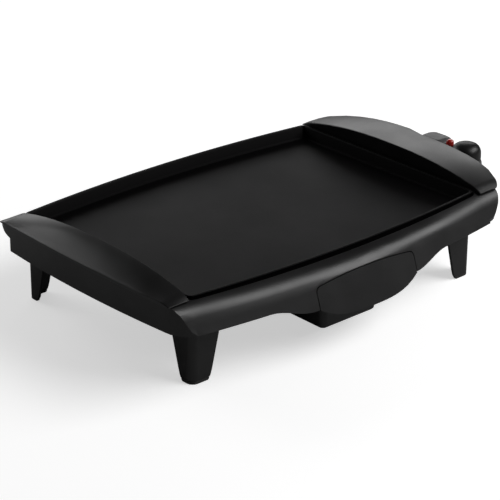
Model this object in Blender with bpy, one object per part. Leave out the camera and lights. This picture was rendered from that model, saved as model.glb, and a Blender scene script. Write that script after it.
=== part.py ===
"""Electric griddle with a lift-off plate, a drip drawer and a plug-in thermostat.

Metres, +Z up. +X points to the thermostat end and -Y to the drip drawer. The pieces are
built about the centre of the cooking plate, then moved so that the origin is on the
table in the middle of the whole appliance.
Run with: blender --background --python part.py
"""

import math

import bmesh
import bpy

# --- driving dimensions -----------------------------------------------------------
GAP = 0.0003                    # clearance left between touching pieces
FOOTPRINT_CENTRE = (0.0385, -0.0042)    # middle of the overall box, from the plate's centre

PLATE_HALF_LENGTH = 0.200       # cooking plate, outside of its rim
PLATE_HALF_WIDTH = 0.134        # at the plate's ends
PLATE_BOW = 0.013               # how far each long side bows out in the middle
PLATE_RIM_Z = 0.097
PLATE_FLOOR_Z = 0.084
PLATE_UNDER_Z = 0.080
PLATE_CLEARANCE = 0.0015        # between the plate and the frame around it
DRAIN_Y = -0.1335               # middle of the grease slot

DECK_Z = 0.0942                 # top of the base frame under the end covers
FLOOR_TOP_Z = 0.069             # the base frame's own floor
FLOOR_UNDER_Z = 0.0665
SKIRT_Z = 0.065                 # lower edge of the frame
APRON_Z = 0.0545                # lower edge beside the drawer front
SHELL = 0.003                   # wall thickness of the base frame

CORNER_RADIUS = 0.029           # vertical corners of the frame
CORNER_Y = 0.128
NEAR_CENTRE_X = 0.196           # centre of the corners, from the plate's middle
NEAR_BOW = 0.0055               # how far the end wall bows out in the middle
FAR_CENTRE_X = 0.203
FAR_BOW = 0.018

COVER_INNER_X = 0.2025          # straight inner edge of both end covers
COVER_END_Z = 0.0975            # height of a cover at its two ends
COVER_RISE = 0.0155             # how much its inner edge arches in the middle
COVER_ARCH = 2.4
HOOD_ROOT_X = 0.204
HOOD_DEPTH = 0.055
HOOD_HALF_WIDTH = 0.1440
HOOD_POWER = 3.0                # squareness of the hood's rounded plan

LEG_X = 0.1977                  # sharp outer corner of each leg
LEG_Y = 0.1345
LEG_TOP_Z = FLOOR_UNDER_Z - GAP
LEG_WALL = 0.0032
LEG_CORNER_RADIUS = 0.0080
PAD_Z = 0.003                   # height of the rubber tread
LEG_WIDE = (0.0235, 0.0352)       # flange along X, at the table and at the top
LEG_NARROW = (0.0172, 0.0300)     # flange along Y, at the table and at the top

TRAY_HALF_WIDTH = 0.040
TRAY_FRONT_Y = -0.152
TRAY_BACK_Y = -0.032
TRAY_UNDER_Z = 0.0148
TRAY_RIM_Z = 0.0605
TRAY_WALL = 0.0022
FASCIA_HALF_WIDTH = 0.0682
FASCIA_TOP_Z = 0.0800           # in the middle of its arched top
FASCIA_ARCH = 0.0042
FASCIA_SLOT = 0.0009            # visible joint round the drawer front

ELEMENT_RADIUS = 0.0032
ELEMENT_Z = 0.0750
PLUG_Y = -0.020                 # centre line of the terminals and the probe
PIN_PITCH = 0.026               # between the two terminal pins

CONTROL_X = (0.2625, 0.2995)    # thermostat housing
CONTROL_Y = (-0.0645, 0.0220)
CONTROL_UNDER_Z = 0.066
CONTROL_SPLIT_Z = 0.080
CONTROL_TOP_Z = 0.0870
KNOB_X = 0.281
KNOB_Y = -0.0467
KNOB_RADIUS = 0.0170
KNOB_TOP_Z = 0.1062
LENS_X = 0.2785
LENS_Y = -0.0240
LENS_RADIUS = 0.0045
LENS_TOP_Z = 0.1040
DOME_Y = (-0.0182, 0.0200)
DOME_TOP_Z = 0.1005


# --- shared modelling tools --------------------------------------------------------
def clear_scene():
    for obj in list(bpy.data.objects):
        bpy.data.objects.remove(obj, do_unlink=True)


def material(name, color, roughness, metallic=0.0):
    mat = bpy.data.materials.new(name)
    mat.use_nodes = True
    shader = mat.node_tree.nodes["Principled BSDF"]
    shader.inputs["Base Color"].default_value = (*color, 1.0)
    shader.inputs["Roughness"].default_value = roughness
    shader.inputs["Metallic"].default_value = metallic
    mat.diffuse_color = (*color, 1.0)
    return mat


def add_object(name, bm, mat=None, smooth_angle=35):
    """Makes a named object from a bmesh, with its faces pointing out."""
    bmesh.ops.recalc_face_normals(bm, faces=bm.faces)
    mesh = bpy.data.meshes.new(name)
    bm.to_mesh(mesh)
    bm.free()
    mesh.shade_smooth()
    mesh.set_sharp_from_angle(angle=math.radians(smooth_angle))
    obj = bpy.data.objects.new(name, mesh)
    bpy.context.scene.collection.objects.link(obj)
    if mat:
        mesh.materials.append(mat)
    return obj


def loft(name, loops, mat=None):
    """A closed solid through loops of 3-D points, all with the same count."""
    bm = bmesh.new()
    rings = [[bm.verts.new(point) for point in loop] for loop in loops]
    count = len(rings[0])
    for low, high in zip(rings, rings[1:]):
        for i in range(count):
            j = (i + 1) % count
            bm.faces.new((low[i], low[j], high[j], high[i]))
    bm.faces.new(list(reversed(rings[0])))
    bm.faces.new(rings[-1])
    return add_object(name, bm, mat)


def prism(name, outline, low, high, mat=None, axis="Z"):
    """An outline extruded between two positions along an axis."""
    loops = []
    for along in (low, high):
        if axis == "Z":
            loops.append([(a, b, along) for a, b in outline])
        elif axis == "Y":
            loops.append([(a, along, b) for a, b in outline])
        else:
            loops.append([(along, a, b) for a, b in outline])
    return loft(name, loops, mat)


def box(name, low, high, mat=None):
    (x0, y0, z0), (x1, y1, z1) = low, high
    return prism(name, [(x0, y0), (x1, y0), (x1, y1), (x0, y1)], z0, z1, mat)


def turned(name, centre, profile, mat=None, sides=16, axis="Z"):
    """A solid of rings (radius, distance along the axis) about a point."""
    loops = []
    for radius, along in profile:
        loop = []
        for i in range(sides):
            angle = 2 * math.pi * (i + 0.5) / sides
            a, b = radius * math.cos(angle), radius * math.sin(angle)
            offset = {"X": (along, a, b), "Y": (a, along, b), "Z": (a, b, along)}[axis]
            loop.append([c + d for c, d in zip(centre, offset)])
        loops.append(loop)
    return loft(name, loops, mat)


def rod(name, start, radius, length, mat=None, sides=12, axis="Z"):
    return turned(name, start, [(radius, 0.0), (radius, length)], mat, sides, axis)


def combine(target, other, operation):
    """Adds a Boolean to target, and hides the other object."""
    boolean = target.modifiers.new(operation.lower() + " " + other.name, "BOOLEAN")
    boolean.operation = operation
    boolean.solver = "EXACT"
    boolean.object = other
    other.hide_render = True
    other.display_type = "WIRE"
    return target


def cut(target, *cutters):
    for cutter in cutters:
        combine(target, cutter, "DIFFERENCE")
    return target


def join(target, *others):
    for other in others:
        combine(target, other, "UNION")
    return target


def keep_inside(target, *others):
    for other in others:
        combine(target, other, "INTERSECT")
    return target


def rounded_rectangle(x0, y0, x1, y1, radius, steps=4):
    outline = []
    corners = ((x1, y1, 0), (x0, y1, 90), (x0, y0, 180), (x1, y0, 270))
    for x, y, start in corners:
        cx = x - math.copysign(radius, x - (x0 + x1) / 2)
        cy = y - math.copysign(radius, y - (y0 + y1) / 2)
        for i in range(steps + 1):
            angle = math.radians(start + 90 * i / steps)
            outline.append((cx + radius * math.cos(angle), cy + radius * math.sin(angle)))
    return outline


def tidy_outline(outline, least=0.0004):
    """Drops points that nearly repeat the one before."""
    kept = []
    for point in outline:
        if not kept or math.dist(point, kept[-1]) > least:
            kept.append(point)
    if math.dist(kept[0], kept[-1]) <= least:
        kept.pop()
    return kept


def smooth_step(value):
    value = min(1.0, max(0.0, value))
    return value * value * (3 - 2 * value)


def mix(a, b, share):
    return a + (b - a) * share


# --- shapes that several pieces share ----------------------------------------------
def plate_edge(x):
    """Half width of the plate at x."""
    return PLATE_HALF_WIDTH + PLATE_BOW * (1 - (x / PLATE_HALF_LENGTH) ** 2)


def plate_outline(inset, corner=0.007, steps=18):
    """The cooking plate's plan, shrunk by inset."""
    half_length = PLATE_HALF_LENGTH - inset
    radius = max(corner - inset, 0.002)
    straight = half_length - radius
    corner_y = plate_edge(straight) - inset - radius
    quarter = [(half_length, 0.0)]
    for i in range(4):
        angle = math.radians(30 * i)
        quarter.append((straight + radius * math.cos(angle), corner_y + radius * math.sin(angle)))
    for i in range(1, steps // 2 + 1):
        x = straight * (1 - 2 * i / steps)
        quarter.append((x, plate_edge(x) - inset))
    back = quarter[1:] + [(-x, y) for x, y in reversed(quarter[1:-1])]
    return tidy_outline(back + [(-x, -y) for x, y in back])


def side_bulge(x):
    """0 at the ends of the long sides and 1 in the middle."""
    return max(0.0, 1 - (x / 0.215) ** 2)


END_SECTION = (                 # half section of the frame at its ends, (y, z)
    (0.1290, DECK_Z),
    (0.1345, 0.0932),
    (0.1395, 0.0912),
    (0.1440, 0.0870),
    (0.1472, 0.0810),
    (0.1500, 0.0732),
    (0.1536, 0.0650),
    (0.1590, 0.0540),
)
MIDDLE_SECTION = (              # and in the middle of the long sides
    (0.1430, DECK_Z),
    (0.1490, 0.0912),
    (0.1560, 0.0898),
    (0.1622, 0.0868),
    (0.1668, 0.0815),
    (0.1696, 0.0732),
    (0.1724, 0.0650),
    (0.1762, 0.0540),
)


def side_profile(x, inset=0.0, bottom=0.048):
    """Half section (y, z) of the frame at x, from its deck over the shoulder and down."""
    bulge = side_bulge(x)
    outer = []
    for (y0, z0), (y1, z1) in zip(END_SECTION, MIDDLE_SECTION):
        outer.append((mix(y0, y1, bulge), mix(z0, z1, bulge)))
    (y0, z0), (y1, z1) = outer[-2:]
    outer.append((y1 + (y1 - y0) * (z1 - bottom) / (z0 - z1), bottom))
    if not inset:
        return outer
    inner = [(outer[0][0], DECK_Z - inset)]
    for before, here, after in zip(outer, outer[1:], outer[2:] + [None]):
        ahead = after or here
        along = (ahead[0] - before[0], ahead[1] - before[1])
        length = math.hypot(*along)
        y = here[0] + inset * along[1] / length
        z = here[1] - inset * along[0] / length
        inner.append((y, bottom if after is None else z))
    inner[1] = (inner[1][0], min(inner[1][1], DECK_Z - inset - 0.0004))
    return inner


def frame_loaf(name, inset=0.0, bottom=0.048):
    """The frame's side profile, lofted from end to end."""
    loops = []
    for i in range(31):
        x = -0.240 + 0.502 * i / 30
        half = side_profile(x, inset, bottom)
        loops.append([(x, -y, z) for y, z in half] + [(x, y, z) for y, z in reversed(half)])
    return loft(name, loops)


def end_wall(centre_x, bow, inset=0.0, steps=6):
    """Half plan of an end wall, from its middle round the corner and out past the side."""
    radius = CORNER_RADIUS - inset
    points = []
    for i in range(5):
        y = CORNER_Y * i / 4
        points.append((centre_x + radius + bow * (1 - (y / CORNER_Y) ** 2), y))
    for i in range(1, steps + 1):
        angle = math.radians(88 * i / steps)
        points.append((centre_x + radius * math.cos(angle), CORNER_Y + radius * math.sin(angle)))
    points.append((points[-1][0] - 0.0005, 0.2))
    return points


def frame_outline(inset=0.0, belly=0.0):
    """Plan of both end walls. Along the sides it stays outside the frame."""
    far = end_wall(FAR_CENTRE_X, FAR_BOW, inset + belly)
    near = end_wall(NEAR_CENTRE_X, NEAR_BOW, inset)
    outline = [(x, -y) for x, y in reversed(far)] + far[1:]
    outline += [(-x, y) for x, y in reversed(near)]
    outline += [(-x, -y) for x, y in near[1:]]
    return outline


FAR_BELLY = (                   # how far the far end wall is drawn in, (z, amount)
    (0.0300, 0.0070),
    (0.0660, 0.0040),
    (0.0740, 0.0018),
    (0.0820, 0.0003),
    (0.0870, 0.0000),
    (0.0910, 0.0004),
    (0.0960, 0.0014),
    (0.1300, 0.0014),
)


def far_belly(z):
    for (z0, a0), (z1, a1) in zip(FAR_BELLY, FAR_BELLY[1:]):
        if z0 <= z <= z1:
            return mix(a0, a1, (z - z0) / (z1 - z0))
    return 0.0


def frame_plan(name, low, high, inset=0.0):
    """The end walls' plan between two heights, with the far wall's belly."""
    levels = [low] + [z for z, _ in FAR_BELLY if low < z < high] + [high]
    loops = []
    for z in levels:
        loops.append([(x, y, z) for x, y in frame_outline(inset, far_belly(z))])
    return loft(name, loops)


def arch(y, rise=COVER_RISE):
    """Height of an end cover's edge at y."""
    across = min(1.0, abs(y) / 0.139)
    return COVER_END_Z + rise * (1 - across ** COVER_ARCH)


def xz_outline_below(points, under=0.030):
    """Closes a line of (x, z) points into an outline that reaches down to under."""
    return [(points[0][0], under)] + points + [(points[-1][0], under)]


def screw(name, at, head_radius, head_height, shank_radius, shank, mat, up=True):
    """A pan head screw. Its head sits at the given point and its shank points up or down."""
    way = 1 if up else -1
    profile = [
        (head_radius * 0.55, -head_height * way),
        (head_radius, -head_height * 0.55 * way),
        (head_radius, 0.0),
        (shank_radius, 0.0),
        (shank_radius, (shank - 0.0015) * way),
        (shank_radius * 0.4, shank * way),
    ]
    return turned(name, at, profile, mat, 10)


# --- materials ---------------------------------------------------------------------
clear_scene()
BLACK = material("black plastic", (0.012, 0.012, 0.013), 0.42)
GLOSS = material("gloss black plastic", (0.010, 0.010, 0.011), 0.18)
COATING = material("non-stick coating", (0.030, 0.030, 0.032), 0.40, 0.3)
STEEL = material("sheet steel", (0.52, 0.53, 0.54), 0.38, 1.0)
DARK_STEEL = material("heating tube", (0.20, 0.20, 0.21), 0.45, 1.0)
SCREW_STEEL = material("plated screw steel", (0.60, 0.60, 0.58), 0.30, 1.0)
BRASS = material("brass", (0.72, 0.55, 0.25), 0.30, 1.0)
CERAMIC = material("ceramic", (0.80, 0.78, 0.72), 0.50)
RUBBER = material("rubber", (0.018, 0.018, 0.018), 0.85)
GREY = material("grey plastic", (0.090, 0.092, 0.096), 0.45)
KNOB_GREY = material("knob plastic", (0.055, 0.056, 0.060), 0.40)
RED = material("red lens", (0.45, 0.02, 0.015), 0.15)
CLEAR = material("lamp glass", (0.75, 0.45, 0.30), 0.10)


# --- base frame: skin, floor, plate well, drawer recess ------------------------------
frame = frame_loaf("base_frame")
frame.data.materials.append(BLACK)
keep_inside(frame, frame_plan("frame plan", 0.040, 0.120))

front_edge = []
for i in range(9):
    x = 0.071 + 0.052 * i / 8
    front_edge.append((x, APRON_Z + (SKIRT_Z - APRON_Z) * smooth_step(i / 8)))
front_edge = [(-0.280, SKIRT_Z)] + [(-x, z) for x, z in reversed(front_edge)] + front_edge
front_edge.append((0.280, SKIRT_Z))
cut(frame, prism("front trim", xz_outline_below(front_edge), -0.210, 0.010, axis="Y"))
cut(frame, box("rear trim", (-0.280, 0.005, 0.030), (0.280, 0.210, SKIRT_Z)))

hollow = frame_loaf("hollow above the floor", SHELL)
keep_inside(hollow, frame_plan("hollow plan", FLOOR_TOP_Z, 0.110, SHELL))
cut(frame, hollow)
underside = frame_loaf("hollow below the floor", SHELL, 0.040)
keep_inside(underside, frame_plan("underside plan", 0.035, FLOOR_UNDER_Z, SHELL))
cut(frame, underside)


def corner_relief(name, grow=0.0, low=0.030):
    """Takes the rear near corner away under its cover, up to a rounded cove."""
    start, way, out = (-0.2245, 0.1245), (0.602, 0.798), (-0.798, 0.602)
    levels = [(low, 0.0)]
    for i in range(7):
        share = i / 6
        levels.append((0.0797 + grow + 0.0143 * share, 0.0112 * math.sqrt(share)))
    loops = []
    for z, shift in levels:
        a = [p - 0.024 * w + (shift - grow) * o for p, w, o in zip(start, way, out)]
        b = [p + 0.070 * w + (shift - grow) * o for p, w, o in zip(start, way, out)]
        loops.append([(a[0], a[1], z), (b[0], b[1], z), (-0.300, 0.220, z), (-0.300, a[1], z)])
    return loft(name, loops)


cut(hollow, corner_relief("relief above the floor", SHELL))
cut(underside, corner_relief("relief below the floor", SHELL))
cut(frame, corner_relief("corner relief"))
cut(frame, prism("plate well", plate_outline(-PLATE_CLEARANCE), 0.075, 0.120))

# The wall behind the drawer front closes the opening in the skirt.
join(frame, box("drawer recess", (-0.076, -0.1585, FLOOR_TOP_Z - 0.0010),
                (0.082, -0.1563, 0.0862)))
FASCIA_X = 0.004
FASCIA_CORNER = 0.006


def fascia_outline(grow=0.0, to_bottom=False):
    """The drawer front seen from the front: an arched top and a smiling lower edge."""
    half = FASCIA_HALF_WIDTH + grow
    straight = half - FASCIA_CORNER
    side = [(half, FASCIA_TOP_Z + grow - FASCIA_ARCH - FASCIA_CORNER)]
    for i in range(1, 5):
        angle = math.radians(90 * i / 4)
        side.append((straight + FASCIA_CORNER * math.cos(angle),
                     side[0][1] + FASCIA_CORNER * math.sin(angle)))
    for i in range(1, 6):
        x = straight * (1 - i / 5)
        side.append((x, FASCIA_TOP_Z + grow - FASCIA_ARCH * (x / straight) ** 2))
    outline = side + [(-x, z) for x, z in reversed(side[:-1])]
    if to_bottom:
        outline += [(-half, 0.030), (half, 0.030)]
    else:
        for i in range(17):
            x = -half + 2 * half * i / 16
            outline.append((x, 0.0406 + 0.0130 * abs(x / half) ** 3.2))
    return [(FASCIA_X + x, z) for x, z in outline]


cut(frame, prism("drawer opening", fascia_outline(FASCIA_SLOT, True), -0.210, -0.1588, axis="Y"))

# Openings in the floor: grease drop, and the thermostat bay in the far wall.
cut(frame, box("grease drop", (-0.024, DRAIN_Y - 0.011, 0.060), (0.024, DRAIN_Y + 0.011, 0.072)))
cut(frame, box("thermostat bay", (0.2200, PLUG_Y - 0.0285, FLOOR_TOP_Z + 0.0004),
               (0.2750, PLUG_Y + 0.0285, 0.0895)))

# Four posts carry the plate. Holes take the screws of the legs, pan, rails and covers.
PLATE_POST = (0.172, 0.108)
for sx in (-1, 1):
    for sy in (-1, 1):
        post = rod("post %d %d" % (sx, sy), (sx * PLATE_POST[0], sy * PLATE_POST[1], 0.0680),
                   0.0055, PLATE_UNDER_Z - GAP - 0.0680, sides=16)
        join(frame, post)

LEG_SCREW = (0.1800, 0.1175)
PAN_SCREW = (0.138, 0.088)
RAIL_SCREWS = ((0.0545, -0.135), (0.0545, -0.045))
NEAR_COVER_SCREW = (-0.2140, 0.072)
FAR_COVER_SCREW = (0.2200, 0.092)
GUARD_SCREW_X = 0.2090
GUARD_SCREW_SPAN = 0.036        # to each side of the plug's centre line
for sx in (-1, 1):
    for sy in (-1, 1):
        for (x, y), label in ((LEG_SCREW, "leg"), (PAN_SCREW, "pan")):
            cut(frame, rod("%s hole %d %d" % (label, sx, sy), (sx * x, sy * y, 0.060),
                           0.0020, 0.012))
    for x, y in RAIL_SCREWS:
        cut(frame, rod("rail hole %d %g" % (sx, y), (sx * x, y, 0.060), 0.0018, 0.012))
    for x, y in (NEAR_COVER_SCREW, FAR_COVER_SCREW):
        cut(frame, rod("cover hole %g %g" % (x, sx * y), (x, sx * y, 0.085), 0.0020, 0.012))
    guard_y = PLUG_Y + sx * GUARD_SCREW_SPAN
    cut(frame, rod("guard hole %d" % sx, (GUARD_SCREW_X, guard_y, 0.060), 0.0018, 0.012))


# --- end covers --------------------------------------------------------------------
COVER_UNDER_Z = DECK_Z + GAP
NEAR_COVER_END = 0.1372
HOOD_END = 0.1402
END_ROLL = 0.0120               # length of the roll-off at each end of a cover
END_DROP = 0.0027


def end_slope(y, end):
    """How far a cover has dropped at y, so that its end meets the frame's shoulder."""
    share = max(0.0, (abs(y) - end + END_ROLL) / END_ROLL)
    return END_DROP * share * share


def near_cover_section(y, shrink=0.0):
    """Section (x, z) of the near cover at y: it slopes down to its outer edge."""
    inner, outer = -COVER_INNER_X, -0.2315 + 0.003 * (y / 0.130) ** 2
    drop = end_slope(y, NEAR_COVER_END)
    high, low = arch(y) - drop, 0.0978 - drop
    points = [(inner - shrink, COVER_UNDER_Z - shrink)]
    for i in range(8):
        t = i / 7
        x = mix(inner, outer, t)
        rounding = (1 - t) ** 1.15 * (1 + 0.75 * t)
        points.append((min(max(x, outer + shrink), inner - shrink),
                       low + (high - low) * rounding - shrink))
    points[-1] = (outer + 0.0008 + shrink, low - shrink)
    points.append((outer + shrink, low - (low - COVER_UNDER_Z) * 0.3 - shrink))
    points.append((outer + shrink, COVER_UNDER_Z - shrink))
    return points


def hood_outer_x(y):
    across = min(1.0, abs(y) / HOOD_HALF_WIDTH)
    return HOOD_ROOT_X + HOOD_DEPTH * (1 - across ** HOOD_POWER) ** (1 / HOOD_POWER)


def hood_section(y, shrink=0.0):
    """Section (x, z) of the far cover at y: it stays high, over the thermostat's socket."""
    inner, outer = COVER_INNER_X, hood_outer_x(y)
    high = arch(y)
    low = arch(y, 0.0140) - 0.0024 * smooth_step((0.017 - y) / 0.018) * smooth_step(
        (0.130 - abs(y)) / 0.080)
    high -= end_slope(y, HOOD_END)
    low -= end_slope(y, HOOD_END)
    rounding = min(0.0045, (outer - inner) * 0.3, (low - COVER_UNDER_Z) * 0.9)
    points = [(inner + shrink, COVER_UNDER_Z - shrink), (inner + shrink, high - 0.0006 - shrink),
              (inner + 0.0008 + shrink, high - shrink)]
    for t in (0.35, 0.7):
        points.append((mix(inner, outer - rounding, t), mix(high, low, t) + 0.0006 - shrink))
    for degrees in (0, 30, 60, 90):
        angle = math.radians(degrees)
        x = outer - rounding + rounding * math.sin(angle) - shrink
        points.append((x, low - rounding + rounding * math.cos(angle) - shrink))
    points.append((outer - shrink, COVER_UNDER_Z - shrink))
    return points


def height_at(points, x):
    """Height of a section's top at x."""
    best = COVER_UNDER_Z
    for (x0, z0), (x1, z1) in zip(points, points[1:]):
        if x0 != x1 and min(x0, x1) <= x <= max(x0, x1):
            best = max(best, mix(z0, z1, (x - x0) / (x1 - x0)))
    return best


def cover(name, section, ends, screw_at):
    """An end cover with two screw bosses, hollow from below."""
    steps = 14
    middle = ends - END_ROLL
    stations = [-middle + 2 * middle * i / steps for i in range(steps + 1)]
    for i in range(1, 5):
        y = middle + END_ROLL * i / 4
        stations = [-y] + stations + [y]
    body = loft(name, [[(x, y, z) for x, z in section(y)] for y in stations], GLOSS)
    reach = 0.106
    inside = [-reach + 2 * reach * i / 12 for i in range(13)]
    pocket = [[(x, y, z) for x, z in section(y, 0.0025)] for y in inside]
    cut(body, loft(name + " pocket", pocket))
    for sy in (-1, 1):
        x, y = screw_at[0], sy * screw_at[1]
        boss = rod(name + " boss %d" % sy, (x, y, COVER_UNDER_Z), 0.0042,
                   height_at(section(y), x) - 0.0032 - COVER_UNDER_Z, sides=14)
        join(body, boss)
        cut(body, rod(name + " bore %d" % sy, (x, y, 0.090), 0.0017, 0.0082, sides=12))
    return body


cover("near_handle_cap", near_cover_section, NEAR_COVER_END, NEAR_COVER_SCREW)
cover("far_handle_cap", hood_section, HOOD_END, FAR_COVER_SCREW)
for end, (x, y) in (("near", NEAR_COVER_SCREW), ("far", FAR_COVER_SCREW)):
    for side, sy in (("front", -1), ("rear", 1)):
        screw("%s_cap_screw_%s" % (end, side), (x, sy * y, DECK_Z - SHELL - GAP),
              0.0032, 0.0022, 0.0014, 0.0068, SCREW_STEEL)


# --- cooking plate -------------------------------------------------------------------
plate = loft("cooking_plate", [
    [(x, y, PLATE_UNDER_Z) for x, y in plate_outline(0.0075)],
    [(x, y, PLATE_UNDER_Z + 0.0025) for x, y in plate_outline(0.0045)],
    [(x, y, 0.0948) for x, y in plate_outline(0.0016)],
    [(x, y, 0.0962) for x, y in plate_outline(0.0)],
    [(x, y, PLATE_RIM_Z) for x, y in plate_outline(0.0005)],
], COATING)
dish = loft("plate dish", [
    [(x, y, PLATE_FLOOR_Z) for x, y in plate_outline(0.0100, 0.010)],
    [(x, y, PLATE_FLOOR_Z + 0.0015) for x, y in plate_outline(0.0078, 0.010)],
    [(x, y, 0.0955) for x, y in plate_outline(0.0040)],
    [(x, y, PLATE_RIM_Z) for x, y in plate_outline(0.0027)],
    [(x, y, PLATE_RIM_Z + 0.0100) for x, y in plate_outline(0.0027)],
])
cut(plate, dish)
spout = box("spout", (-0.0200, DRAIN_Y - 0.0078, 0.0715), (0.0200, DRAIN_Y + 0.0078, 0.0815))
join(plate, spout)
cut(plate, prism("drain slot", rounded_rectangle(-0.0175, DRAIN_Y - 0.0050, 0.0175,
                                                 DRAIN_Y + 0.0050, 0.0049, 3), 0.065, 0.090))


# --- reflector pan, heating element and its terminals --------------------------------
PAN_FLOOR_Z = FLOOR_TOP_Z + GAP
pan = prism("reflector_pan", rounded_rectangle(-0.150, -0.100, 0.150, 0.100, 0.012),
            PAN_FLOOR_Z, PAN_FLOOR_Z + 0.0022, STEEL)
cut(pan, prism("pan inside", rounded_rectangle(-0.149, -0.099, 0.149, 0.099, 0.011),
               PAN_FLOOR_Z + 0.0010, 0.080))
for sx in (-1, 1):
    for sy in (-1, 1):
        at = (sx * PAN_SCREW[0], sy * PAN_SCREW[1])
        cut(pan, rod("pan bore %d %d" % (sx, sy), (*at, 0.060), 0.0018, 0.020))
        name = "pan_screw_%s_%s" % ("near" if sx < 0 else "far", "front" if sy < 0 else "rear")
        screw(name, (*at, PAN_FLOOR_Z + 0.0010 + GAP), 0.0032, 0.0020, 0.0014, 0.0085,
              SCREW_STEEL, up=False)


def bent_tube(name, corners, radius, bend, mat, sides=10):
    """A round tube through corner points, with an arc at each corner."""
    path = [corners[0]]
    for before, here, after in zip(corners, corners[1:], corners[2:]):
        a = [(p - q) / math.dist(before, here) for p, q in zip(here, before)]
        b = [(p - q) / math.dist(here, after) for p, q in zip(after, here)]
        centre = [h - bend * p + bend * q for h, p, q in zip(here, a, b)]
        for i in range(6):
            angle = math.radians(90 * i / 5)
            path.append([c - bend * q * math.cos(angle) + bend * p * math.sin(angle)
                         for c, p, q in zip(centre, a, b)])
    path.append(corners[-1])
    loops = []
    for i, point in enumerate(path):
        before, after = path[max(i - 1, 0)], path[min(i + 1, len(path) - 1)]
        heading = math.atan2(after[1] - before[1], after[0] - before[0])
        loop = []
        for k in range(sides):
            angle = 2 * math.pi * (k + 0.5) / sides
            out = radius * math.cos(angle)
            loop.append((point[0] - out * math.sin(heading), point[1] + out * math.cos(heading),
                         ELEMENT_Z + radius * math.sin(angle)))
        loops.append(loop)
    return loft(name, loops, mat)


PIN_Y = (PLUG_Y - PIN_PITCH / 2, PLUG_Y + PIN_PITCH / 2)
bent_tube("heating_element", [
    (0.2050, PIN_Y[0]), (0.1350, PIN_Y[0]), (0.1350, -0.080), (-0.1300, -0.080),
    (-0.1300, 0.080), (0.1350, 0.080), (0.1350, PIN_Y[1]), (0.2050, PIN_Y[1]),
], ELEMENT_RADIUS, 0.018, DARK_STEEL)


def strap(name, at, axis):
    """A steel strap over the heating tube, with a foot on each side."""
    foot, leg, thick = 0.0105, 0.0037, 0.0009
    low, high = PAN_FLOOR_Z + 0.0010 + GAP, ELEMENT_Z + ELEMENT_RADIUS + GAP
    half = [(foot, low), (foot, low + thick), (leg + thick, low + thick),
            (leg + thick, high + thick)]
    inner = [(leg, high), (leg, low)]
    outline = half + [(-a, b) for a, b in reversed(half)]
    outline += [(-a, b) for a, b in reversed(inner)] + inner
    side = 1 if axis == "Y" else 0
    shifted = [(a + at[1 - side], b) for a, b in outline]
    return prism(name, shifted, at[side] - 0.004, at[side] + 0.004, STEEL, axis=axis)


strap("element_clamp_front", (0.0, -0.080), "X")
strap("element_clamp_rear", (0.0, 0.080), "X")
strap("element_clamp_near", (-0.130, 0.0), "Y")

guard = box("terminal_guard", (0.2090, PLUG_Y - 0.0300, PAN_FLOOR_Z),
            (0.2105, PLUG_Y + 0.0300, 0.0860), STEEL)
for side, sy in (("front", -1), ("rear", 1)):
    foot = box("guard foot " + side,
               (0.2040, min(PLUG_Y + sy * 0.0290, PLUG_Y + sy * 0.0410), PAN_FLOOR_Z),
               (0.2105, max(PLUG_Y + sy * 0.0290, PLUG_Y + sy * 0.0410), PAN_FLOOR_Z + 0.0012))
    join(guard, foot)
for side, sy in (("front", -1), ("rear", 1)):
    guard_y = PLUG_Y + sy * GUARD_SCREW_SPAN
    cut(guard, rod("guard bore " + side, (GUARD_SCREW_X, guard_y, 0.060), 0.0017, 0.0150))
    screw("guard_screw_" + side, (GUARD_SCREW_X, guard_y, PAN_FLOOR_Z + 0.0012 + GAP),
          0.0028, 0.0018, 0.0013, 0.0080, SCREW_STEEL, up=False)
for label, y in zip(("front", "rear"), PIN_Y):
    cut(guard, rod("guard opening " + label, (0.200, y, ELEMENT_Z), 0.0040, 0.020, axis="X"))
    bushing = turned("terminal_bushing_" + label, (0.2053, y, ELEMENT_Z), [
        (0.0037, 0.0), (0.0037, 0.0056), (0.0060, 0.0056), (0.0060, 0.0092), (0.0045, 0.0110),
    ], CERAMIC, 16, "X")
    cut(bushing, rod("bushing bore " + label, (0.200, y, ELEMENT_Z), 0.0023, 0.030, axis="X"))
    turned("terminal_pin_" + label, (0.2053, y, ELEMENT_Z), [
        (0.0020, 0.0), (0.0020, 0.0360), (0.0008, 0.0380),
    ], BRASS, 12, "X")
cut(guard, rod("guard opening probe", (0.200, PLUG_Y, ELEMENT_Z), 0.0047, 0.020, axis="X"))
sleeve = rod("probe_sleeve", (0.1600, PLUG_Y, ELEMENT_Z), 0.0044, 0.0550, STEEL, 14, "X")
cut(sleeve, rod("sleeve bore", (0.1615, PLUG_Y, ELEMENT_Z), 0.0033, 0.060, sides=14, axis="X"))


# --- legs, their rubber treads and screws ---------------------------------------------
def leg_outline(sx, sy, z, inset=0.0):
    """Plan of an L-section leg at height z. Its flanges taper toward the table."""
    share = min(1.0, max(0.0, z / 0.048))
    wide = mix(LEG_WIDE[0], LEG_WIDE[1], share) - inset
    narrow = mix(LEG_NARROW[0], LEG_NARROW[1], share) - inset
    wall = LEG_WALL - 2 * inset
    radius = LEG_CORNER_RADIUS
    corner = []
    for i in range(5):
        angle = math.radians(90 * i / 4)
        corner.append((-radius + radius * math.cos(angle), -radius + radius * math.sin(angle)))
    outline = [(0.0, -narrow)] + corner + [(-wide, 0.0), (-wide, -wall)]
    inner = radius - wall
    for i in (2, 1, 0):
        angle = math.radians(90 * i / 2)
        outline.append((-radius + inner * math.cos(angle), -radius + inner * math.sin(angle)))
    outline.append((-wall, -narrow))
    shifted = [(sx * (LEG_X - inset + x), sy * (LEG_Y - inset + y)) for x, y in outline]
    return shifted


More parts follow.
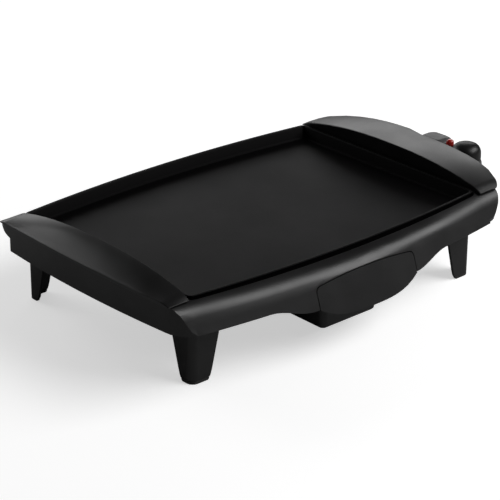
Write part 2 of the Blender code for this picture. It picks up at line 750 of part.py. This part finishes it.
for sx, end in ((-1, "near"), (1, "far")):
    for sy, side in ((-1, "front"), (1, "rear")):
        label = end + "_" + side
        heights = (PAD_Z + GAP, 0.006, 0.012, 0.048, LEG_TOP_Z)
        trims = (0.0010, 0.0004, 0.0, 0.0, 0.0)
        loops = []
        for z, trim in zip(heights, trims):
            plan = leg_outline(sx, sy, z)
            ring = []
            for i, (x, y) in enumerate(plan):
                if i in (6, 7):
                    x += sx * trim
                if i in (0, 11):
                    y += sy * trim
                ring.append((x, y, z))
            loops.append(ring)
        leg = loft("leg_" + label, loops, BLACK)
        x0, x1 = sorted((sx * (LEG_X - 0.0015), sx * 0.1660))
        y0, y1 = sorted((sy * (LEG_Y - 0.0015), sy * 0.1075))
        join(leg, box("leg top " + label, (x0, y0, LEG_TOP_Z - 0.0030), (x1, y1, LEG_TOP_Z)))
        at = (sx * LEG_SCREW[0], sy * LEG_SCREW[1])
        cut(leg, rod("leg bore " + label, (*at, 0.055), 0.0020, 0.020))
        screw("leg_screw_" + label, (*at, LEG_TOP_Z - 0.0030 - GAP), 0.0036, 0.0024, 0.0016,
              0.0080, SCREW_STEEL)
        pad = []
        for z, trim in ((0.0, 0.0034), (0.0010, 0.0022), (PAD_Z, 0.0014)):
            ring = []
            for i, (x, y) in enumerate(leg_outline(sx, sy, 0.003)):
                if i in (6, 7):
                    x += sx * trim
                if i in (0, 11):
                    y += sy * trim
                ring.append((x, y, z))
            pad.append(ring)
        loft("foot_pad_" + label, pad, RUBBER)


# --- drip drawer and its guide rails --------------------------------------------------
tray_loops = []
for z, draft, radius in ((TRAY_UNDER_Z, 0.0035, 0.0045), (TRAY_UNDER_Z + 0.0015, 0.0018, 0.0060),
                         (TRAY_UNDER_Z + 0.0050, 0.0010, 0.0070), (TRAY_RIM_Z, 0.0, 0.0080)):
    plan = rounded_rectangle(-TRAY_HALF_WIDTH + draft, TRAY_FRONT_Y + draft,
                             TRAY_HALF_WIDTH - draft, TRAY_BACK_Y - draft, radius)
    tray_loops.append([(x, y, z) for x, y in plan])
tray = loft("drip_tray", tray_loops, BLACK)
join(tray, box("tray flange", (-0.0470, TRAY_FRONT_Y + 0.0020, 0.0587),
               (0.0470, TRAY_BACK_Y - 0.0020, TRAY_RIM_Z)))
join(tray, box("tray shelf", (-0.0400, -0.1660, 0.0562), (0.0400, TRAY_FRONT_Y + 0.0040, 0.0602)))
inside_loops = []
for z, draft, radius in ((TRAY_UNDER_Z + TRAY_WALL, 0.0050, 0.0035),
                         (TRAY_UNDER_Z + 0.0060, 0.0034, 0.0050), (0.070, 0.0022, 0.0060)):
    plan = rounded_rectangle(-TRAY_HALF_WIDTH + draft, TRAY_FRONT_Y + draft,
                             TRAY_HALF_WIDTH - draft, TRAY_BACK_Y - draft, radius)
    inside_loops.append([(x, y, z) for x, y in plan])
cut(tray, loft("tray inside", inside_loops))

panel_loops = []
for i in range(15):
    x = -0.070 + 0.148 * i / 14
    skin = [(-y, z) for y, z in side_profile(x, 0.0, 0.036)]
    back = [(-y, z) for y, z in side_profile(x, 0.0026, 0.036)]
    ring = skin[3:] + list(reversed(back[3:]))
    panel_loops.append([(x, y, z) for y, z in ring])
panel = loft("tray_front_panel", panel_loops, BLACK)
keep_inside(panel, prism("panel edge", fascia_outline(), -0.200, -0.150, axis="Y"))
# A tongue on its back hooks under the drawer's shelf.
join(panel, box("panel tongue", (-0.0300, -0.1745, 0.0520), (0.0300, -0.1560, 0.0559)))

rail_outline = [
    (0.0418, 0.0568), (0.0490, 0.0568), (0.0490, 0.0647), (0.0600, 0.0647), (0.0600, 0.0662),
    (0.0473, 0.0662), (0.0473, 0.0622), (0.0440, 0.0622), (0.0440, 0.0608), (0.0473, 0.0608),
    (0.0473, 0.0584), (0.0418, 0.0584),
]
for sx, side in ((-1, "near"), (1, "far")):
    rail = prism("tray_rail_" + side, [(sx * x, z) for x, z in rail_outline], -0.1480, -0.0300,
                 STEEL, axis="Y")
    for (x, y), label in zip(RAIL_SCREWS, ("front", "rear")):
        cut(rail, rod("rail bore %s %s" % (side, label), (sx * x, y, 0.060), 0.0017, 0.010))
        screw("rail_screw_%s_%s" % (side, label), (sx * x, y, 0.0647 - GAP), 0.0030, 0.0020,
              0.0013, 0.0045, SCREW_STEEL)


# --- plug-in thermostat ---------------------------------------------------------------
def control_plan(inset=0.0, radius=0.0178):
    return rounded_rectangle(CONTROL_X[0] + inset, CONTROL_Y[0] + inset, CONTROL_X[1] - inset,
                             CONTROL_Y[1] - inset, radius - inset, 5)


base = loft("thermostat_base", [
    [(x, y, CONTROL_UNDER_Z) for x, y in control_plan(0.0020)],
    [(x, y, CONTROL_UNDER_Z + 0.0020) for x, y in control_plan()],
    [(x, y, CONTROL_SPLIT_Z) for x, y in control_plan()],
], GREY)
nose = box("plug nose", (0.2260, PLUG_Y - 0.0265, 0.0702), (0.2660, PLUG_Y + 0.0265, 0.0800))
join(base, nose)
base_inside = prism("base inside", control_plan(0.0024), CONTROL_UNDER_Z + 0.0024, 0.090)
cut(base, base_inside)
for label, y in zip(("front", "rear"), PIN_Y):
    cut(base, rod("nose bore " + label, (0.220, y, ELEMENT_Z), 0.0036, 0.048, axis="X"))
cut(base, rod("nose bore probe", (0.220, PLUG_Y, ELEMENT_Z), 0.0031, 0.048, axis="X"))
GLAND_Y = 0.002
cut(base, rod("gland bore", (0.295, GLAND_Y, 0.0735), 0.0044, 0.030, sides=14, axis="X"))

top_loops = [
    [(x, y, CONTROL_SPLIT_Z + GAP) for x, y in control_plan()],
    [(x, y, CONTROL_TOP_Z - 0.0040) for x, y in control_plan()],
    [(x, y, CONTROL_TOP_Z - 0.0012) for x, y in control_plan(0.0012)],
    [(x, y, CONTROL_TOP_Z) for x, y in control_plan(0.0040)],
]
top = loft("thermostat_cover", top_loops, GREY)
dome_plan = (CONTROL_X[0] + 0.0022, DOME_Y[0], CONTROL_X[1] - 0.0022, DOME_Y[1])
dome_loops = []
for z, inset in ((CONTROL_TOP_Z - 0.0030, 0.0), (DOME_TOP_Z - 0.0055, 0.0005),
                 (DOME_TOP_Z - 0.0028, 0.0018), (DOME_TOP_Z - 0.0008, 0.0048),
                 (DOME_TOP_Z, 0.0090)):
    x0, y0, x1, y1 = dome_plan
    plan = rounded_rectangle(x0 + inset, y0 + inset, x1 - inset, y1 - inset, 0.0125 - inset, 4)
    dome_loops.append([(x, y, z) for x, y in plan])
join(top, loft("dome", dome_loops))
cut(top, prism("cover inside", control_plan(0.0024), 0.076, CONTROL_TOP_Z - 0.0026))
x0, y0, x1, y1 = dome_plan
cut(top, prism("dome inside", rounded_rectangle(x0 + 0.0040, y0 + 0.0040, x1 - 0.0040,
                                                y1 - 0.0040, 0.0080),
               CONTROL_TOP_Z - 0.0060, DOME_TOP_Z - 0.0030))
cut(top, rod("shaft hole", (KNOB_X, KNOB_Y, 0.080), 0.0036, 0.020, sides=14))
cut(top, rod("lens hole", (LENS_X, LENS_Y, 0.080), LENS_RADIUS + 0.0004, 0.030, sides=16))
for label, (x, y) in (("front", (0.2735, -0.0545)), ("rear", (0.2890, 0.0115))):
    join(top, rod("housing boss " + label, (x, y, CONTROL_UNDER_Z + 0.0027), 0.0035,
                  CONTROL_TOP_Z - 0.0015 - CONTROL_UNDER_Z - 0.0027, sides=12))
    cut(top, rod("housing bore " + label, (x, y, 0.060), 0.0015, 0.0220))
    cut(base, rod("base bore " + label, (x, y, 0.060), 0.0017, 0.0120))
    screw("housing_screw_" + label, (x, y, CONTROL_UNDER_Z - GAP), 0.0030, 0.0018, 0.0012,
          0.0140, SCREW_STEEL)

turned("indicator_lens", (LENS_X, LENS_Y, 0.0), [
    (LENS_RADIUS, 0.0850), (LENS_RADIUS, LENS_TOP_Z - 0.0030),
    (LENS_RADIUS - 0.0006, LENS_TOP_Z - 0.0012), (LENS_RADIUS - 0.0022, LENS_TOP_Z),
], RED, 16)
turned("indicator_lamp", (LENS_X, LENS_Y, 0.0), [
    (0.0022, 0.0740), (0.0026, 0.0750), (0.0026, 0.0825), (0.0016, 0.0845),
], CLEAR, 12)

knob_profile = [(KNOB_RADIUS - 0.0006, CONTROL_TOP_Z + 0.0006),
                (KNOB_RADIUS, CONTROL_TOP_Z + 0.0014), (KNOB_RADIUS, CONTROL_TOP_Z + 0.0050)]
DOME_HEIGHT = KNOB_TOP_Z - CONTROL_TOP_Z - 0.0050
KNOB_POWER = 0.72               # below 1 the dome is squarer than an ellipse
for degrees in (12, 24, 38, 52, 66, 78, 87):
    angle = math.radians(degrees)
    knob_profile.append((KNOB_RADIUS * math.cos(angle) ** KNOB_POWER,
                         CONTROL_TOP_Z + 0.0050 + DOME_HEIGHT * math.sin(angle) ** KNOB_POWER))
knob = turned("control_knob", (KNOB_X, KNOB_Y, 0.0), knob_profile, KNOB_GREY, 28)
cut(knob, box("pointer groove", (KNOB_X + 0.0040, KNOB_Y - 0.0007, KNOB_TOP_Z - 0.0022),
              (KNOB_X + 0.0100, KNOB_Y + 0.0007, KNOB_TOP_Z + 0.0050)))
cut(knob, rod("knob bore", (KNOB_X, KNOB_Y, 0.080), 0.0030, 0.0170, sides=14))
rod("control_shaft", (KNOB_X, KNOB_Y, 0.0800), 0.0026, 0.0155, SCREW_STEEL, 14)

box("switch_block", (0.2775, -0.0515, 0.0688), (0.2940, -0.0385, 0.0797), CERAMIC)
rod("sensor_probe", (0.1640, PLUG_Y, ELEMENT_Z), 0.0028, 0.1030, SCREW_STEEL, 14, "X")
for label, y in zip(("front", "rear"), PIN_Y):
    contact = rod("socket_contact_" + label, (0.2290, y, ELEMENT_Z), 0.0033, 0.0380, BRASS, 14,
                  "X")
    cut(contact, rod("contact bore " + label, (0.2250, y, ELEMENT_Z), 0.0023, 0.0220, sides=12,
                     axis="X"))
gland = turned("cord_inlet", (CONTROL_X[1] - 0.0040, GLAND_Y, 0.0735), [
    (0.0041, 0.0), (0.0041, 0.0043), (0.0058, 0.0043), (0.0058, 0.0068), (0.0046, 0.0130),
], RUBBER, 16, "X")
cut(gland, rod("inlet bore", (0.290, GLAND_Y, 0.0735), 0.0031, 0.040, sides=14, axis="X"))


# --- final place ----------------------------------------------------------------------
# The knob turns about its own origin, and everything moves to the middle of the footprint.
for vertex in knob.data.vertices:
    vertex.co.x -= KNOB_X
    vertex.co.y -= KNOB_Y
knob.location = (KNOB_X, KNOB_Y, 0.0)
for obj in bpy.data.objects:
    obj.location.x -= FOOTPRINT_CENTRE[0]
    obj.location.y -= FOOTPRINT_CENTRE[1]
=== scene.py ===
"""Looks of an electric table griddle: black moulded frame and covers, coated plate,
drip drawer and plug-in thermostat. Metres, +Z up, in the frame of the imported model."""

import math

import bpy
from mathutils import Euler, Matrix, Vector


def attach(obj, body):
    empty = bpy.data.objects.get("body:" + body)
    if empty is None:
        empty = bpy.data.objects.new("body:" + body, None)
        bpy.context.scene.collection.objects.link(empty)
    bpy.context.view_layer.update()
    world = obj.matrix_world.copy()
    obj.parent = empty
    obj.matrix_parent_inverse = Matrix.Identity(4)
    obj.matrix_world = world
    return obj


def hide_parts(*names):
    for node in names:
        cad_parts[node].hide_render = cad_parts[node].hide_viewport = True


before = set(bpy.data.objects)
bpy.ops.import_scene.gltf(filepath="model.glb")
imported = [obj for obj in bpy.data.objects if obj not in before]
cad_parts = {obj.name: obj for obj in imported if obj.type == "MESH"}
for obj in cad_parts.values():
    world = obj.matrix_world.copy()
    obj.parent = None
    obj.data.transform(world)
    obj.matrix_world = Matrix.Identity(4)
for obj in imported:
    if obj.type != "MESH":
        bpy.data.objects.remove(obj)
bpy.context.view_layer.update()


# --- Table, studio light and camera ---------------------------------------------------
# A white table in a dim studio. A wide, low light wall behind the griddle draws the soft
# sheen on the plate and the covers, a smaller one stands behind the near end, and a large
# softbox over the drawer side gives the long shoulder its highlight.
scene = bpy.context.scene
scene.view_settings.view_transform = "Standard"

world = bpy.data.worlds.new("white studio")
world.use_nodes = True
world_tree = world.node_tree
sky = world_tree.nodes["Background"]
sky.inputs["Color"].default_value = (1.0, 1.0, 1.0, 1.0)
sky_ray = world_tree.nodes.new("ShaderNodeLightPath")
sky_level = world_tree.nodes.new("ShaderNodeMapRange")
sky_level.inputs["To Min"].default_value = 0.04
sky_level.inputs["To Max"].default_value = 1.0
world_tree.links.new(sky_ray.outputs["Is Camera Ray"], sky_level.inputs["Value"])
world_tree.links.new(sky_level.outputs["Result"], sky.inputs["Strength"])
scene.world = world

bpy.ops.mesh.primitive_plane_add(size=12.0, location=(0.0, 0.0, 0.0))
table = bpy.context.object
table.name = "table"
table_white = bpy.data.materials.new("matt white table")
table_white.use_nodes = True
table_tree = table_white.node_tree
table_shader = table_tree.nodes["Principled BSDF"]
table_shader.inputs["Roughness"].default_value = 0.85
table_shader.inputs["Specular IOR Level"].default_value = 0.1
table_ray = table_tree.nodes.new("ShaderNodeLightPath")
table_level = table_tree.nodes.new("ShaderNodeMapRange")
table_level.inputs["To Min"].default_value = 0.45
table_level.inputs["To Max"].default_value = 0.80
table_tree.links.new(table_ray.outputs["Is Camera Ray"], table_level.inputs["Value"])
table_tree.links.new(table_level.outputs["Result"], table_shader.inputs["Base Color"])
table_shader.inputs["Emission Color"].default_value = (1.0, 1.0, 1.0, 1.0)
table_glow = table_tree.nodes.new("ShaderNodeMapRange")
table_glow.inputs["To Max"].default_value = 0.55
table_tree.links.new(table_ray.outputs["Is Camera Ray"], table_glow.inputs["Value"])
table_tree.links.new(table_glow.outputs["Result"], table_shader.inputs["Emission Strength"])
table.data.materials.append(table_white)


def softbox(name, place, aim, width, height, power):
    light = bpy.data.lights.new(name, "AREA")
    light.shape = "RECTANGLE"
    light.size = width
    light.size_y = height
    light.energy = power
    lamp = bpy.data.objects.new(name, light)
    lamp.location = place
    lamp.rotation_euler = (Vector(aim) - Vector(place)).to_track_quat("-Z", "Y").to_euler()
    scene.collection.objects.link(lamp)


softbox("light wall at the back", (1.25, 2.10, 0.85), (0.0, 0.0, 0.08), 3.0, 0.8, 13.0)
softbox("tall light behind the near end", (-0.55, 2.00, 1.00), (-0.2, 0.1, 0.1), 1.2, 0.9, 9.0)
softbox("softbox over the drawer side", (1.25, -1.35, 1.60), (0.0, -0.1, 0.08), 2.4, 1.2, 50.0)

camera = bpy.data.objects.new("camera", bpy.data.cameras.new("camera"))
camera.data.lens = 144.6
camera.data.sensor_width = 36.0
camera.location = (-1.3416, -1.4537, 0.9201)
tilt = Euler((math.radians(90.0 - 24.20), 0.0, math.radians(-41.73))).to_matrix()
camera.rotation_euler = (tilt @ Matrix.Rotation(math.radians(0.22), 3, "Z")).to_euler()
scene.collection.objects.link(camera)
scene.camera = camera


# --- Base frame -----------------------------------------------------------------------
# The one-piece moulding that carries everything: deck, rounded long shoulders, end walls
# and the recess for the drawer front. Injection-moulded glass-filled plastic, black, with
# a fine spark-eroded grain; its edges are just broken, as a steel mould leaves them.
def deselect_all():
    bpy.ops.object.select_all(action="DESELECT")


def start_from(packed, name):
    """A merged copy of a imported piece, with flat faces made whole, ready to be finished."""
    deselect_all()
    piece = bpy.data.objects.new(name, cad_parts[packed].data.copy())
    scene.collection.objects.link(piece)
    piece.data.materials.clear()
    bpy.context.view_layer.objects.active = piece
    piece.select_set(True)
    same_point, same_plane = 0.000002, math.radians(0.4)
    bpy.ops.object.mode_set(mode="EDIT")
    bpy.ops.mesh.select_all(action="SELECT")
    bpy.ops.mesh.remove_doubles(threshold=same_point)
    bpy.ops.mesh.dissolve_limited(angle_limit=same_plane)
    bpy.ops.object.mode_set(mode="OBJECT")
    return piece


def break_edges(piece, width, segments=2, angle=28.0):
    """Rounds the sharp edges of a piece and shades what is left smoothly."""
    bevel = piece.modifiers.new("broken edges", "BEVEL")
    bevel.width = width
    bevel.segments = segments
    bevel.limit_method = "ANGLE"
    bevel.angle_limit = math.radians(angle)
    bevel.use_clamp_overlap = True
    bpy.context.view_layer.objects.active = piece
    bpy.ops.object.modifier_apply(modifier=bevel.name)
    smooth(piece, 40.0)
    level = piece.modifiers.new("flat faces stay flat", "WEIGHTED_NORMAL")
    level.keep_sharp = True
    level.weight = 90
    bpy.ops.object.modifier_apply(modifier=level.name)


def smooth(piece, angle=35.0):
    deselect_all()
    piece.select_set(True)
    bpy.context.view_layer.objects.active = piece
    bpy.ops.object.shade_smooth_by_angle(angle=math.radians(angle))


def fit(piece, packed, body):
    """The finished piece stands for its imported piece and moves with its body."""
    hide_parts(packed)
    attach(piece, body)


def shader_of(material):
    return material.node_tree.nodes["Principled BSDF"]


def new_material(name, color, roughness, metallic=0.0):
    made = bpy.data.materials.new(name)
    made.use_nodes = True
    shader = shader_of(made)
    shader.inputs["Base Color"].default_value = (*color, 1.0)
    shader.inputs["Roughness"].default_value = roughness
    shader.inputs["Metallic"].default_value = metallic
    return made


def shader_node(material, kind, **inputs):
    """Adds a node to a material and sets its named sockets."""
    made = material.node_tree.nodes.new(kind)
    for key, value in inputs.items():
        made.inputs[key.replace("_", " ")].default_value = value
    return made


def link(material, source, output, target, socket):
    material.node_tree.links.new(source.outputs[output], target.inputs[socket])


def noise(material, scale, detail=2.0, rough=0.5):
    """A noise pattern fixed to the piece."""
    place = shader_node(material, "ShaderNodeTexCoord")
    made = shader_node(material, "ShaderNodeTexNoise", Scale=scale, Detail=detail, Roughness=rough)
    link(material, place, "Object", made, "Vector")
    return made


def spread(material, source, low, high, start=0.3, stop=0.7):
    """Maps a noise to a range of values."""
    made = shader_node(material, "ShaderNodeMapRange", From_Min=start, From_Max=stop,
                       To_Min=low, To_Max=high)
    link(material, source, 0, made, "Value")
    return made


def vary_color(material, source, dark, light, start=0.3, stop=0.7):
    """Runs the colour between two tones, as the pattern does."""
    made = shader_node(material, "ShaderNodeMix")
    made.data_type = "RGBA"
    first_color, second_color, mixed_color = 6, 7, 2     # its sockets for colours
    share = spread(material, source, 0.0, 1.0, start, stop)
    made.inputs[first_color].default_value = (*dark, 1.0)
    made.inputs[second_color].default_value = (*light, 1.0)
    link(material, share, "Result", made, "Factor")
    link(material, made, mixed_color, shader_of(material), "Base Color")


def vary_roughness(material, source, low, high):
    level = spread(material, source, low, high)
    link(material, level, "Result", shader_of(material), "Roughness")


def bump(material, source, depth, strength=1.0):
    """Raises the surface by the pattern, to a depth in metres."""
    made = shader_node(material, "ShaderNodeBump", Strength=strength, Distance=depth)
    link(material, source, 0, made, "Height")
    link(material, made, "Normal", shader_of(material), "Normal")


def moulded_plastic(name, color, roughness, grain=2600.0, depth=0.00006):
    """Moulded plastic: a fine grain, and slow changes of sheen where it has been held."""
    made = new_material(name, color, roughness)
    bump(made, noise(made, grain, 3.0, 0.6), depth, 0.6)
    vary_roughness(made, noise(made, 14.0, 4.0, 0.6), roughness - 0.05, roughness + 0.06)
    paler = [channel * 1.25 + 0.001 for channel in color]
    vary_color(made, noise(made, 30.0, 3.0), color, paler)
    return made


frame_plastic = moulded_plastic("grained black plastic", (0.0060, 0.0058, 0.0060), 0.40)
shell = start_from("base_frame", "frame_moulding")
break_edges(shell, 0.0005)
shell.data.materials.append(frame_plastic)
fit(shell, "base_frame", "base")


# --- Legs and rubber feet -------------------------------------------------------------
# Four L-section legs in the frame's plastic, screwed up into its corners. Each stands on
# a thin black rubber tread glued under its lower end, matt and slightly dusty.
leg_plastic = moulded_plastic("leg plastic", (0.0065, 0.0063, 0.0065), 0.44)
tread_rubber = new_material("tread rubber", (0.020, 0.020, 0.020), 0.85)
bump(tread_rubber, noise(tread_rubber, 900.0, 4.0, 0.7), 0.00015, 0.5)
vary_color(tread_rubber, noise(tread_rubber, 120.0, 4.0), (0.014, 0.014, 0.014),
           (0.034, 0.033, 0.032))
corners = [(end, side) for end in ("near", "far") for side in ("front", "rear")]
for end, side in corners:
    leg = start_from(f"leg_{end}_{side}", f"moulded_leg_{end}_{side}")
    break_edges(leg, 0.0006)
    leg.data.materials.append(leg_plastic)
    fit(leg, f"leg_{end}_{side}", "base")
    pad = start_from(f"foot_pad_{end}_{side}", f"rubber_tread_{end}_{side}")
    break_edges(pad, 0.0004)
    pad.data.materials.append(tread_rubber)
    fit(pad, f"foot_pad_{end}_{side}", "base")


# --- Reflector pan, guard, straps, probe sleeve and rails -----------------------------
# Folded and pressed from thin bright steel sheet. The rolling leaves fine lines along
# the sheet, and heat leaves a faint straw tint in places.
sheet_steel = new_material("rolled steel sheet", (0.56, 0.57, 0.58), 0.34, 1.0)
steel_place = shader_node(sheet_steel, "ShaderNodeTexCoord")
steel_lines = shader_node(sheet_steel, "ShaderNodeMapping")
steel_lines.inputs["Scale"].default_value = (30.0, 900.0, 900.0)
steel_grain = shader_node(sheet_steel, "ShaderNodeTexNoise", Scale=1.0, Detail=4.0)
link(sheet_steel, steel_place, "Object", steel_lines, "Vector")
link(sheet_steel, steel_lines, "Vector", steel_grain, "Vector")
bump(sheet_steel, steel_grain, 0.00002, 0.5)
vary_roughness(sheet_steel, steel_grain, 0.26, 0.44)
vary_color(sheet_steel, noise(sheet_steel, 22.0, 4.0), (0.50, 0.49, 0.45), (0.60, 0.61, 0.62))
for sheet_part in ("reflector_pan", "terminal_guard", "probe_sleeve", "tray_rail_near",
                   "tray_rail_far", "element_clamp_front", "element_clamp_rear",
                   "element_clamp_near"):
    pressed = start_from(sheet_part, "pressed_" + sheet_part)
    break_edges(pressed, 0.0001, 1)
    pressed.data.materials.append(sheet_steel)
    fit(pressed, sheet_part, "base")


# --- Heating element, terminals and their bushings -------------------------------------
# A sheathed steel tube, dark from heat, bent in one loop. Its ends carry brass pins in
# glazed ceramic bushings.
tube_steel = new_material("heat-darkened tube", (0.16, 0.15, 0.15), 0.50, 1.0)
vary_color(tube_steel, noise(tube_steel, 60.0, 5.0), (0.10, 0.095, 0.10), (0.24, 0.21, 0.19))
bump(tube_steel, noise(tube_steel, 1400.0, 3.0), 0.00004, 0.5)
tube = start_from("heating_element", "sheathed_tube")
smooth(tube, 50.0)
tube.data.materials.append(tube_steel)
fit(tube, "heating_element", "base")

brass = new_material("plain brass", (0.72, 0.53, 0.23), 0.28, 1.0)
vary_roughness(brass, noise(brass, 300.0, 4.0), 0.20, 0.40)
vary_color(brass, noise(brass, 90.0, 3.0), (0.62, 0.44, 0.18), (0.78, 0.58, 0.27))
ceramic = new_material("glazed ceramic", (0.80, 0.77, 0.70), 0.25)
vary_color(ceramic, noise(ceramic, 150.0, 4.0), (0.74, 0.71, 0.63), (0.83, 0.80, 0.74))
vary_roughness(ceramic, noise(ceramic, 400.0, 2.0), 0.20, 0.36)
for side in ("front", "rear"):
    bushing = start_from(f"terminal_bushing_{side}", f"ceramic_bushing_{side}")
    break_edges(bushing, 0.0003)
    bushing.data.materials.append(ceramic)
    fit(bushing, f"terminal_bushing_{side}", "base")
    pin = start_from(f"terminal_pin_{side}", f"brass_pin_{side}")
    break_edges(pin, 0.0002)
    pin.data.materials.append(brass)
    fit(pin, f"terminal_pin_{side}", "base")


# --- Cooking plate --------------------------------------------------------------------
# Cast aluminium with a sprayed and baked non-stick coating. The spray leaves a fine
# orange-peel surface with pale specks, and the floor has a soft satin sheen.
coating = new_material("non-stick coating", (0.0022, 0.0020, 0.0022), 0.50)
shader_of(coating).inputs["Specular IOR Level"].default_value = 0.04
peel = noise(coating, 1300.0, 3.0, 0.65)
bump(coating, peel, 0.00009, 0.55)
vary_roughness(coating, noise(coating, 9.0, 5.0, 0.6), 0.41, 0.48)
vary_color(coating, noise(coating, 3200.0, 1.0), (0.0020, 0.0018, 0.0020),
           (0.008, 0.0075, 0.0075), 0.62, 0.78)
griddle_plate = start_from("cooking_plate", "coated_plate")
break_edges(griddle_plate, 0.0006, 2, 24.0)
griddle_plate.data.materials.append(coating)
fit(griddle_plate, "cooking_plate", "plate")


# --- End covers -----------------------------------------------------------------------
# Two hollow mouldings screwed on from below, smoother than the frame. The near one is a
# sloping handle cover; the far one is a hood over the thermostat's socket.
cover_plastic = moulded_plastic("satin cover plastic", (0.0055, 0.0054, 0.0056), 0.33,
                                3400.0, 0.00003)
for end in ("near", "far"):
    cap = start_from(f"{end}_handle_cap", f"{end}_cover")
    break_edges(cap, 0.0005)
    cap.data.materials.append(cover_plastic)
    fit(cap, f"{end}_handle_cap", "base")


# --- Drip drawer and its front --------------------------------------------------------
# A deep thin-walled tray on two flanges, with a separate curved front clipped to it.
# The front is satin; the tray below keeps a coarser, darker grain.
tray_plastic = moulded_plastic("tray plastic", (0.0040, 0.0040, 0.0042), 0.50)
tray = start_from("drip_tray", "drawer_tray")
break_edges(tray, 0.0005)
tray.data.materials.append(tray_plastic)
fit(tray, "drip_tray", "drawer")
front_plastic = moulded_plastic("drawer front plastic", (0.0060, 0.0058, 0.0060), 0.38,
                                3000.0, 0.00004)
front = start_from("tray_front_panel", "drawer_front")
break_edges(front, 0.0006, 3)
front.data.materials.append(front_plastic)
fit(front, "tray_front_panel", "drawer")


# --- Plug-in thermostat ---------------------------------------------------------------
# Two halves of grey plastic screwed together from below, with a rounded dome behind the
# dial. Inside are a ceramic switch block, brass sockets and a plated sensor rod.
control_plastic = moulded_plastic("grey control plastic", (0.050, 0.049, 0.050), 0.36,
                                  3000.0, 0.00004)
for half in ("base", "cover"):
    housing = start_from(f"thermostat_{half}", f"housing_{half}")
    break_edges(housing, 0.0005)
    housing.data.materials.append(control_plastic)
    fit(housing, f"thermostat_{half}", "thermostat")
block = start_from("switch_block", "ceramic_switch_block")
break_edges(block, 0.0008)
block.data.materials.append(ceramic)
fit(block, "switch_block", "thermostat")
plated_steel = new_material("zinc-plated steel", (0.60, 0.60, 0.58), 0.28, 1.0)
vary_color(plated_steel, noise(plated_steel, 260.0, 3.0), (0.52, 0.52, 0.51),
           (0.66, 0.66, 0.63))
vary_roughness(plated_steel, noise(plated_steel, 700.0, 3.0), 0.22, 0.38)
rod = start_from("sensor_probe", "sensor_rod")
break_edges(rod, 0.0005)
rod.data.materials.append(plated_steel)
fit(rod, "sensor_probe", "thermostat")
for side in ("front", "rear"):
    socket = start_from(f"socket_contact_{side}", f"brass_socket_{side}")
    break_edges(socket, 0.0002)
    socket.data.materials.append(brass)
    fit(socket, f"socket_contact_{side}", "thermostat")
inlet_rubber = new_material("inlet rubber", (0.016, 0.016, 0.016), 0.70)
bump(inlet_rubber, noise(inlet_rubber, 1200.0, 3.0), 0.00006, 0.5)
vary_roughness(inlet_rubber, noise(inlet_rubber, 60.0, 3.0), 0.62, 0.80)
inlet = start_from("cord_inlet", "cord_sleeve")
break_edges(inlet, 0.0003)
inlet.data.materials.append(inlet_rubber)
fit(inlet, "cord_inlet", "thermostat")


# --- Pilot light ----------------------------------------------------------------------
# A small neon under a domed red lens that shows when the griddle is heating. The lens is
# moulded in clear red acrylic and pressed into the top of the housing.
lens_red = new_material("clear red acrylic", (0.62, 0.035, 0.025), 0.12)
lens_shader = shader_of(lens_red)
lens_shader.inputs["Transmission Weight"].default_value = 0.45
lens_shader.inputs["IOR"].default_value = 1.49
lens_shader.inputs["Coat Weight"].default_value = 0.3
vary_color(lens_red, noise(lens_red, 500.0, 2.0), (0.50, 0.02, 0.015), (0.75, 0.06, 0.04))
lens = start_from("indicator_lens", "red_lens")
break_edges(lens, 0.0004, 3, 12.0)
lens.data.materials.append(lens_red)
fit(lens, "indicator_lens", "thermostat")
lamp_glass = new_material("neon lamp glass", (0.90, 0.62, 0.45), 0.08)
shader_of(lamp_glass).inputs["Transmission Weight"].default_value = 0.8
vary_roughness(lamp_glass, noise(lamp_glass, 800.0, 2.0), 0.05, 0.15)
neon = start_from("indicator_lamp", "neon_lamp")
break_edges(neon, 0.0003)
neon.data.materials.append(lamp_glass)
fit(neon, "indicator_lamp", "thermostat")


# --- Dial -----------------------------------------------------------------------------
# A domed black dial pressed on a plated shaft. A short groove moulded in its top is filled
# with pale paint, as the pointer.
knob_plastic = moulded_plastic("dial plastic", (0.0058, 0.0056, 0.0060), 0.40, 3200.0, 0.00003)
shader_of(knob_plastic).inputs["Specular IOR Level"].default_value = 0.32
dial = start_from("control_knob", "dial")
break_edges(dial, 0.0004, 2, 30.0)
dial.data.materials.append(knob_plastic)
fit(dial, "control_knob", "knob")
pointer_paint = new_material("pale pointer paint", (0.62, 0.61, 0.58), 0.55)
vary_color(pointer_paint, noise(pointer_paint, 1800.0, 3.0), (0.52, 0.51, 0.48),
           (0.68, 0.67, 0.64))
deselect_all()
groove_middle = (0.2495, -0.0425, 0.10435)
bpy.ops.mesh.primitive_cube_add(size=0.001, location=groove_middle)
pointer = bpy.context.object
pointer.name = "pointer_paint"
bpy.ops.object.mode_set(mode="EDIT")
bpy.ops.mesh.select_all(action="SELECT")
bpy.ops.transform.resize(value=(5.4, 1.1, 0.6))      # millimetres long, wide and thick
bpy.ops.mesh.bevel(offset=0.0002, segments=2)
bpy.ops.object.mode_set(mode="OBJECT")
bpy.ops.object.transform_apply(location=True, rotation=True, scale=True)
smooth(pointer, 40.0)
pointer.data.materials.append(pointer_paint)
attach(pointer, "knob")
shaft = start_from("control_shaft", "dial_shaft")
break_edges(shaft, 0.0003)
shaft.data.materials.append(plated_steel)
fit(shaft, "control_shaft", "knob")


# --- Screws ---------------------------------------------------------------------------
# Zinc-plated pan head screws hold the housings, covers, legs, pan, guard and rails. They
# are turned in from below or inside the frame, so none shows while the plate is in place.
for screw_name in [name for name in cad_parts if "screw" in name]:
    screw = start_from(screw_name, "pan_head_" + screw_name)
    break_edges(screw, 0.0002)
    screw.data.materials.append(plated_steel)
    body = "thermostat" if "housing" in screw_name else "base"
    fit(screw, screw_name, body)
